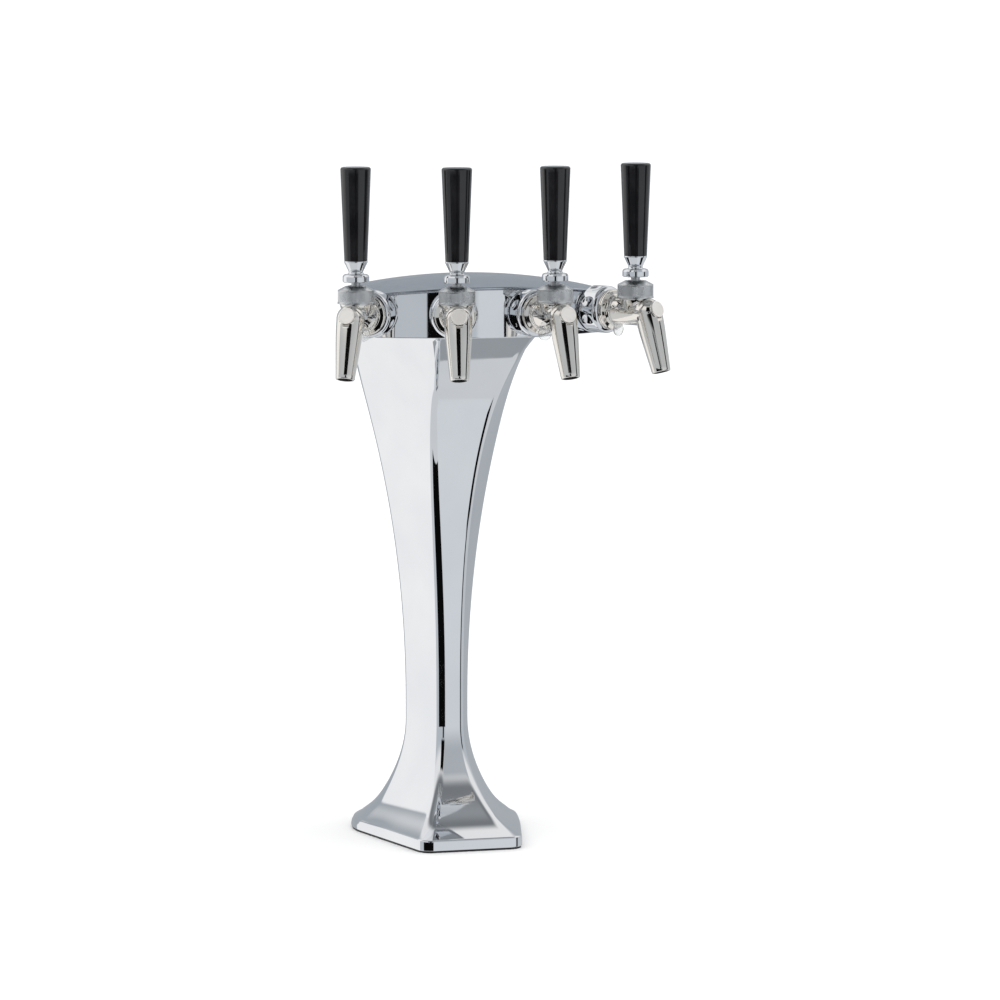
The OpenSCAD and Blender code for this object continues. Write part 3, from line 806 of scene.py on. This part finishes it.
def knurled(rings):
    """Straight fine knurl round the bonnet's side."""
    radius = np.hypot(rings[..., 0], rings[..., 1])
    angle = np.arctan2(rings[..., 1], rings[..., 0])
    side = np.clip((rings[..., 2] - 2.4) / 0.4, 0, 1) * np.clip((13.0 - rings[..., 2]) / 0.4, 0, 1)
    side = np.where(radius > BONNET_R - 0.9, side, 0)
    cut = 0.22 * side * (0.5 + 0.5 * np.cos(90 * angle))
    rings[..., 0] -= np.cos(angle) * cut
    rings[..., 1] -= np.sin(angle) * cut
    return rings


def bonnet_mesh():
    high = BONNET_TOP - NECK_TOP - 0.1
    outer = [
        (14.5, 0), (BONNET_R + 0.3, 0, 0.3), (BONNET_R + 0.3, 1.5, 0.3), (BONNET_R, 1.9, 0.1),
        (BONNET_R, 13.5, 0.4), (BONNET_R - 0.8, 14.1, 0.4), (10.6, high, 0.5), (9.6, high, 0.3),
        (7.75, 11.4, 0.3), (8.4, 9.4, 0.3), (8.4, 6.8, 0.3), (14.5, 6.8, 0.3),
    ]
    profile = softened(outer, 0.3, closed=True)
    dense = []
    for a, b in zip(profile, np.roll(profile, -1, axis=0)):
        count = max(1, int(np.linalg.norm(b - a) / 0.8))
        dense += [a + (b - a) * i / count for i in range(count)]
    obj = lathe("bonnet", dense, BONNET_STEEL, 540, knurled)
    obj.data.transform(Matrix.Translation((0, 0, (NECK_TOP + 0.1) * MM)))
    return obj


def lever_mesh():
    """Finger, ball, stem and thread, from the finger's tip upwards."""
    finger_r, stem_r, thread_r = 2.3, 4.6, 4.8
    turns = np.linspace(0, math.pi / 2, 7)
    profile = [(finger_r * math.sin(g), 1 + finger_r * (1 - math.cos(g))) for g in turns]
    ball = np.linspace(math.asin(finger_r / BALL_R), math.pi - math.asin(stem_r / BALL_R), 32)
    profile += [(BALL_R * math.sin(g), BALL_Z - BALL_R * math.cos(g)) for g in ball]
    profile += [(stem_r, JAM_LOW - 0.2), (thread_r, JAM_LOW)]
    profile += [(thread_r, 69.6), (thread_r - 0.4, 70), (0, 70)]
    return lathe("lever", profile, STEEL, 64)


def jam_nut_mesh():
    profile = [
        (4.85, JAM_LOW, 0), (12.4, JAM_LOW, 0.3), (13.3, JAM_LOW + 0.9, 0.4), (13.3, JAM_HIGH - 2.3, 0.8),
        (12.5, JAM_HIGH - 0.7, 0.6), (11.2, JAM_HIGH, 0.4), (4.85, JAM_HIGH, 0),
    ]
    return lathe("jam", softened(profile, 0.3, 4, True), CHROME, 96)


def ferrule_mesh():
    low = JAM_HIGH + 0.1
    profile = [
        (4.85, low, 0), (8.6, low, 0.3), (7.4, low + 1, 0.8), (7.2, low + 2.6, 1.5),
        (11.8, GRIP_LOW - 1.3, 0.5), (11.8, GRIP_LOW - 0.35, 0.3), (11.4, GRIP_LOW - 0.05, 0.1),
        (6, GRIP_LOW - 0.05, 0), (6, GRIP_LOW + 16, 0), (4.85, GRIP_LOW + 16, 0),
    ]
    return lathe("ferrule", softened(profile, 0.3, 5, True), CHROME, 96)


def handle_mesh():
    """The tapered black handle, with its socket below and a rounded upper edge."""
    soft = 2.4
    start, stop = GRIP_LOW + 0.5, GRIP_HIGH - soft
    profile = [(0, GRIP_LOW + 18), (5.9, GRIP_LOW + 18), (6.05, GRIP_LOW + 17.8), (6.05, GRIP_LOW)]
    profile += [(GRIP_LOW_R - 0.5, GRIP_LOW), (GRIP_LOW_R - 0.15, GRIP_LOW + 0.15)]
    for s in np.linspace(0, 1, 24):
        profile.append((GRIP_LOW_R + (GRIP_TOP_R - GRIP_LOW_R) * s, start + (stop - start) * s))
    for g in np.linspace(0, math.pi / 2, 11)[1:]:
        profile.append((GRIP_TOP_R - soft + soft * math.cos(g), stop - 0.1 + soft * math.sin(g)))
    profile += [(GRIP_TOP_R - soft - 1.5, GRIP_HIGH - 0.06), (6, GRIP_HIGH), (0, GRIP_HIGH)]
    return lathe("handle", profile, HANDLE_BLACK, 128)


def disc_mesh():
    """Plain round disc in the elbow's recess, with a thin raised rim."""
    profile = [
        (0, 13.25), (8.3, 13.25, 0), (8.3, 14.1, 0.35), (7.2, 14.25, 0.3), (6.9, 14.0, 0.2), (0, 14.0),
    ]
    return moved(lathe("disc", softened(profile, 0.2, 4), DISC, 96), ON_DISC)


def nut_mesh():
    nut = lathe("nut", coupling_nut_profile(), CHROME, 288, dimpled)
    return moved(nut, Matrix.Translation((NUT_BACK * MM, 0, 0)) @ ALONG_X)


def tap_piece(proto, name, i, node, body=TOWER):
    """A copy of a prototype at tap i, with its place put into the mesh."""
    copy = moved(bpy.data.objects.new(f"{name}_{i}", proto.data.copy()), tap_matrix(i))
    bpy.context.scene.collection.objects.link(copy)
    in_place_of(copy, node, body)


def build_taps():
    fixed = (
        (nut_mesh(), "nut", "coupling_nut", "chrome"),
        (bpy.data.objects.new("body", body_mesh("tap_body")), "faucet", "tap_body", "nickel"),
        (bonnet_mesh(), "cap", "bonnet", "satin_steel"),
    )
    moving = (
        (lever_mesh(), "stem", "lever", "steel"),
        (jam_nut_mesh(), "stem_nut", "jam_nut", "chrome"),
        (ferrule_mesh(), "ferrule_ring", "ferrule", "chrome"),
        (handle_mesh(), "grip", "handle", "handle_black"),
    )
    disc = disc_mesh()
    for i in TAPS:
        for proto, name, node, slot in fixed:
            tap_piece(proto, name, i, f"{node}_{i}")
        for proto, name, node, slot in moving:
            tap_piece(proto, name, i, f"{node}_{i}", f"lever_{i}_body")
        tap_piece(disc, "disc", i, "elbow_discs")
    for proto in [row[0] for row in fixed + moving] + [disc]:
        bpy.data.objects.remove(proto)


# ---------- CAD nodes that stay, with their materials ----------

KEPT = {
    "foot_gasket": RUBBER,
    "foot_plate": STEEL,
    "cover_screws": STEEL,
    "cold_block": ALUMINIUM,
    "beer_lines": STEEL,
    "coolant_lines": COPPER,
    "line_clip": NYLON,
    "shank_lock_nuts": STEEL,
    "coupling_gaskets": RUBBER,
    "tab_washers": CLEAR,
    "ball_seats": NYLON,
}
for i in TAPS:
    KEPT[f"shank_{i}"] = CHROME
    KEPT[f"valve_shaft_{i}"] = STEEL
    KEPT[f"valve_seal_{i}"] = RUBBER


def dress_kept_nodes():
    for name, material in KEPT.items():
        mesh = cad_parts[name].data
        mesh.materials.clear()
        mesh.materials.append(material)


# ---------- stage ----------

CAMERA_TURN = math.radians(15)
CAMERA_AWAY = 5500.0
CAMERA_SIDE = 67.1
CAMERA_HEIGHT = 995.1
CAMERA_DOWN = math.radians(6.7)
CAMERA_LENS = 189.16


def build_camera():
    data = bpy.data.cameras.new("view_camera")
    data.lens = CAMERA_LENS
    data.sensor_width = 36.0
    data.clip_end = 60
    camera = bpy.data.objects.new("view_camera", data)
    s, c = math.sin(CAMERA_TURN), math.cos(CAMERA_TURN)
    camera.location = Vector((
        CAMERA_SIDE * c - CAMERA_AWAY * s, -CAMERA_SIDE * s - CAMERA_AWAY * c, CAMERA_HEIGHT)) * MM
    look = Vector((s * math.cos(CAMERA_DOWN), c * math.cos(CAMERA_DOWN), -math.sin(CAMERA_DOWN)))
    camera.rotation_euler = look.to_track_quat("-Z", "Y").to_euler()
    bpy.context.scene.collection.objects.link(camera)
    bpy.context.scene.camera = camera


def build_floor():
    n = Nodes("pale_floor")
    n.into("Base Color", n.tint(n.noise(3, 3), (0.93, 0.93, 0.93), (0.95, 0.95, 0.95)))
    n.set(Roughness=0.8)
    size = 30.0
    mesh = bpy.data.meshes.new("floor")
    corners = [(-size, -size, 0), (size, -size, 0), (size, size, 0), (-size, size, 0)]
    mesh.from_pydata(corners, [], [(0, 1, 2, 3)])
    mesh.materials.append(n.material)
    floor = bpy.data.objects.new("floor", mesh)
    bpy.context.scene.collection.objects.link(floor)
    floor.visible_glossy = False


class Sky:
    """The studio as a function of direction. Azimuth is 0 in front of the tower, and + to its +X side."""

    def __init__(self, world):
        world.use_nodes = True
        self.tree = world.node_tree
        self.tree.nodes.clear()
        direction = self.tree.nodes.new("ShaderNodeTexCoord").outputs["Generated"]
        parts = self.tree.nodes.new("ShaderNodeSeparateXYZ")
        self.join(direction, parts.inputs[0])
        x, y, z = parts.outputs
        minus_y = self.math("MULTIPLY", y, -1.0)
        turn = self.math("ARCTAN2", x, minus_y)
        self.azimuth = self.math("MULTIPLY", turn, 180 / math.pi)
        self.height = self.math("MULTIPLY", self.math("ARCSINE", z), 180 / math.pi)

    def join(self, a, b):
        self.tree.links.new(a, b)

    def math(self, operation, a, b=None):
        node = self.tree.nodes.new("ShaderNodeMath")
        node.operation = operation
        for socket, value in zip(node.inputs, (a, b)):
            if value is None:
                continue
            if isinstance(value, (int, float)):
                socket.default_value = value
            else:
                self.join(value, socket)
        return node.outputs[0]

    def step(self, source, a, b):
        """0 below a, 1 above b, smooth between. With a > b it falls instead."""
        node = self.tree.nodes.new("ShaderNodeMapRange")
        node.interpolation_type = "SMOOTHSTEP"
        node.inputs["From Min"].default_value = min(a, b)
        node.inputs["From Max"].default_value = max(a, b)
        node.inputs["To Min"].default_value = 0 if a < b else 1
        node.inputs["To Max"].default_value = 1 if a < b else 0
        self.join(source, node.inputs["Value"])
        return node.outputs["Result"]

    def window(self, source, low, high, soft):
        """1 between low and high, falling to 0 over soft degrees outside."""
        rise = self.step(source, low - soft, low)
        return self.math("MULTIPLY", rise, self.step(source, high + soft, high))

    def patch(self, az, el, soft=3.0, el_soft=None):
        """1 in a rectangle of directions."""
        across = self.window(self.azimuth, *az, soft)
        return self.math("MULTIPLY", across, self.window(self.height, *el, el_soft or soft))

    def paint(self, under, colour, share):
        """colour over under, where share is 1."""
        node = self.tree.nodes.new("ShaderNodeMix")
        node.data_type = "RGBA"
        self.join(share, node.inputs["Factor"])
        sockets = [s for s in node.inputs if s.type == "RGBA"]
        for socket, value in zip(sockets, (under, colour)):
            if isinstance(value, tuple):
                socket.default_value = (*value, 1)
            else:
                self.join(value, socket)
        return [s for s in node.outputs if s.type == "RGBA"][0]


def grey(value, warm=0.0):
    """Linear colour of an 8-bit grey, a little warm or cool."""
    v = ((value / 255 + 0.055) / 1.055) ** 2.4
    return (v * (1 + warm), v, v * (1 - warm))


# What stands round the tower, one over the other: colour, azimuths, elevations, and how soft its edges are.
STUDIO_PANELS = (
    # White panel on the left, dim walls at the back, and the panel's reflection in the counter.
    (grey(252), (-147, -104), (-30, 46), 1.5, 8),
    (grey(176, -0.07), (138, 180), (-40, 26), 2.0, 8),
    (grey(160, -0.06), (138, 180), (-68, -40), 2.0, 3),
    (grey(176, -0.07), (-180, -150), (-40, 26), 2.0, 8),
    (grey(160, -0.06), (-180, -150), (-68, -40), 2.0, 3),
    (grey(250), (-166, -104), (-74, -30), 2.0, 8),
    # Dark room round the camera, its dark tall doorway, and a dark post on the right.
    (grey(10), (-68, 7), (-46, -7.5), 2.0, 1),
    (grey(10), (-20, -6), (-8, 8), 1.0, 2),
    (grey(10), (-34, 3), (14, 46), 2.0, 6),
    (grey(24), (64, 76), (-24, 14), 2.0, 6),
    (grey(14), (56, 86), (-62, -22), 2.0, 3),
)


def build_world():
    world = bpy.data.worlds.new("studio")
    bpy.context.scene.world = world
    sky = Sky(world)
    # From below upwards: pale counter, blue-grey walls, bright upper wall, dimmer ceiling.
    studio = sky.paint(grey(214, -0.03), grey(196, -0.06), sky.step(sky.height, -30, 0))
    studio = sky.paint(studio, grey(240), sky.step(sky.height, 12, 34))
    # Pale screen straight in front, right of the camera, that dims upwards.
    screen = sky.paint(grey(222, -0.04), grey(184, -0.06), sky.step(sky.height, -12, 26))
    studio = sky.paint(studio, screen, sky.patch((8, 56), (-70, 46), 3.0, 8))
    studio = sky.paint(studio, grey(128, -0.06), sky.step(sky.height, 46, 60))
    studio = sky.paint(studio, grey(158, -0.06), sky.step(sky.height, 62, 82))
    for colour, az, el, soft, el_soft in STUDIO_PANELS:
        studio = sky.paint(studio, colour, sky.patch(az, el, soft, el_soft))
    out = sky.tree.nodes.new("ShaderNodeOutputWorld")
    background = sky.tree.nodes.new("ShaderNodeBackground")
    plain = sky.tree.nodes.new("ShaderNodeBackground")
    plain.inputs["Color"].default_value = (1, 1, 1, 1)
    path = sky.tree.nodes.new("ShaderNodeLightPath")
    mix = sky.tree.nodes.new("ShaderNodeMixShader")
    share = sky.math("MAXIMUM", path.outputs["Is Camera Ray"], path.outputs["Is Diffuse Ray"])
    sky.join(share, mix.inputs[0])
    sky.join(studio, background.inputs["Color"])
    sky.join(background.outputs[0], mix.inputs[1])
    sky.join(plain.outputs[0], mix.inputs[2])
    sky.join(mix.outputs[0], out.inputs["Surface"])
    plain.inputs["Strength"].default_value = 1.3


def build_lights():
    """One large soft panel overhead, for the contact shadow and the shading of the matt pieces."""
    data = bpy.data.lights.new("top_panel", "AREA")
    data.energy = 6
    data.size = 1.6
    lamp = bpy.data.objects.new("top_panel", data)
    lamp.location = (0.3, -0.5, 2.6)
    lamp.visible_glossy = False
    lamp.rotation_euler = (Vector((0, 0, 0.3)) - lamp.location).to_track_quat("-Z", "Y").to_euler()
    bpy.context.scene.collection.objects.link(lamp)


build_column()
build_band()
build_dome()
build_taps()
dress_kept_nodes()
build_floor()
build_camera()
build_world()
build_lights()
bpy.context.scene.view_settings.view_transform = "Standard"
